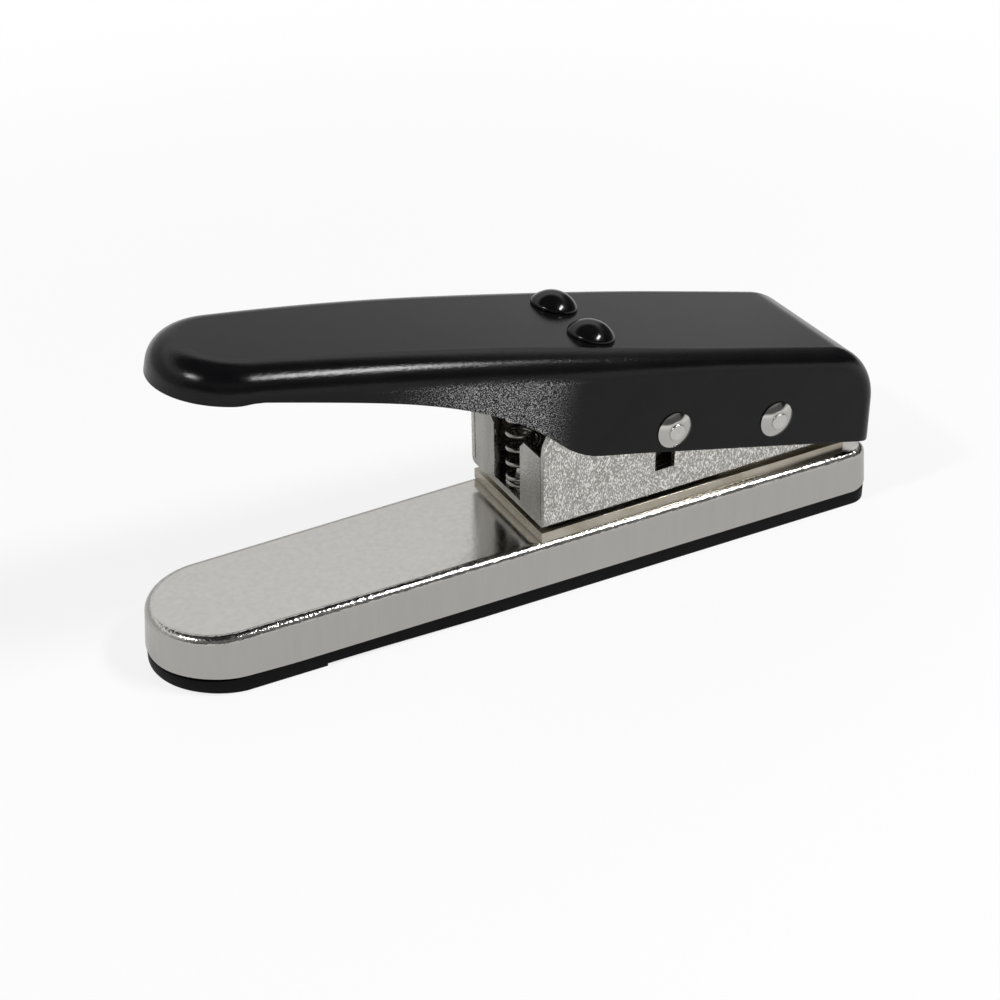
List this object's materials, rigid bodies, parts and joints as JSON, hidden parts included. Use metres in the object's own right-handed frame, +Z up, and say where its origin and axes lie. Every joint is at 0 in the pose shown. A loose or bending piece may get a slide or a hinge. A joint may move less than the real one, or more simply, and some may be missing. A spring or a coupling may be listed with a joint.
{
  "type": "guitar pick punch",
  "caption": "Hand punch that cuts guitar picks from a card: a sprung lever on a rear hinge drives a pick-shaped punch through a slotted die above a base that catches the picks.",
  "frame": {"origin": "middle of the base's length and width, on the table", "axes": "+X from the nose to the hinge end, +Z up, +Y across"},
  "size_m": [0.1792, 0.0438, 0.0761],
  "materials": {
    "nickel": "nickel plate, satin top and bright rounded edge",
    "nickel_sheet": "nickel plate over brushed sheet, slightly grainy",
    "bright_nickel": "polished nickel plate",
    "tool_steel": "ground tool steel",
    "zinc_steel": "zinc-plated steel",
    "pin_steel": "drawn steel, ends riveted over",
    "spring_steel": "drawn spring wire",
    "dark_screw": "black oxide",
    "black_coat": "black powder coat, fine grain, soft sheen",
    "black_gloss": "glossy black",
    "black_plastic": "moulded, semi-matte"
  },
  "bodies": {
    "base": {"base_tray": "nickel", "die_plate": "tool_steel", "slot_spacer": "tool_steel", "punch_bracket": "nickel_sheet", "guide_plate": "tool_steel", "guide_screws": "zinc_steel", "bracket_screws": "zinc_steel", "bracket_nuts": "zinc_steel", "hinge_sleeve": "zinc_steel", "spring_peg": "zinc_steel", "return_spring": "spring_steel"},
    "cover": {"bottom_cover": "black_plastic"},
    "handle": {"handle_shell": "black_coat", "hinge_pin": "pin_steel", "hinge_washers": "bright_nickel", "hinge_rings": "zinc_steel", "drive_pin": "pin_steel", "drive_washers": "bright_nickel", "drive_rings": "zinc_steel", "dome_rivets": "black_gloss", "spring_plate": "zinc_steel", "spring_seat": "zinc_steel"},
    "punch": {"punch": "tool_steel", "punch_carrier": "tool_steel", "carrier_screws": "dark_screw"}
  },
  "joints": [
    {"name": "handle_press", "type": "hinge", "parent": "base", "child": "handle", "pos_m": [0.0581, 0, 0.03179], "axis": [0, -1, 0], "range_deg": [0, 15], "stiffness_Nm_per_rad": 2.5, "springref_deg": -8.59, "deforming": ["return_spring"]},
    {"name": "punch_slide", "type": "slide", "parent": "base", "child": "punch", "axis": [0, 0, -1], "range_m": [0, 0.0074]},
    {"name": "cover_pull", "type": "slide", "parent": "base", "child": "cover", "axis": [0, 0, -1], "range_m": [0, 0.012]}
  ],
  "couplings": [
    {"joint": "punch_slide", "follows": "handle_press", "m_per_rad": 0.028246}
  ]
}
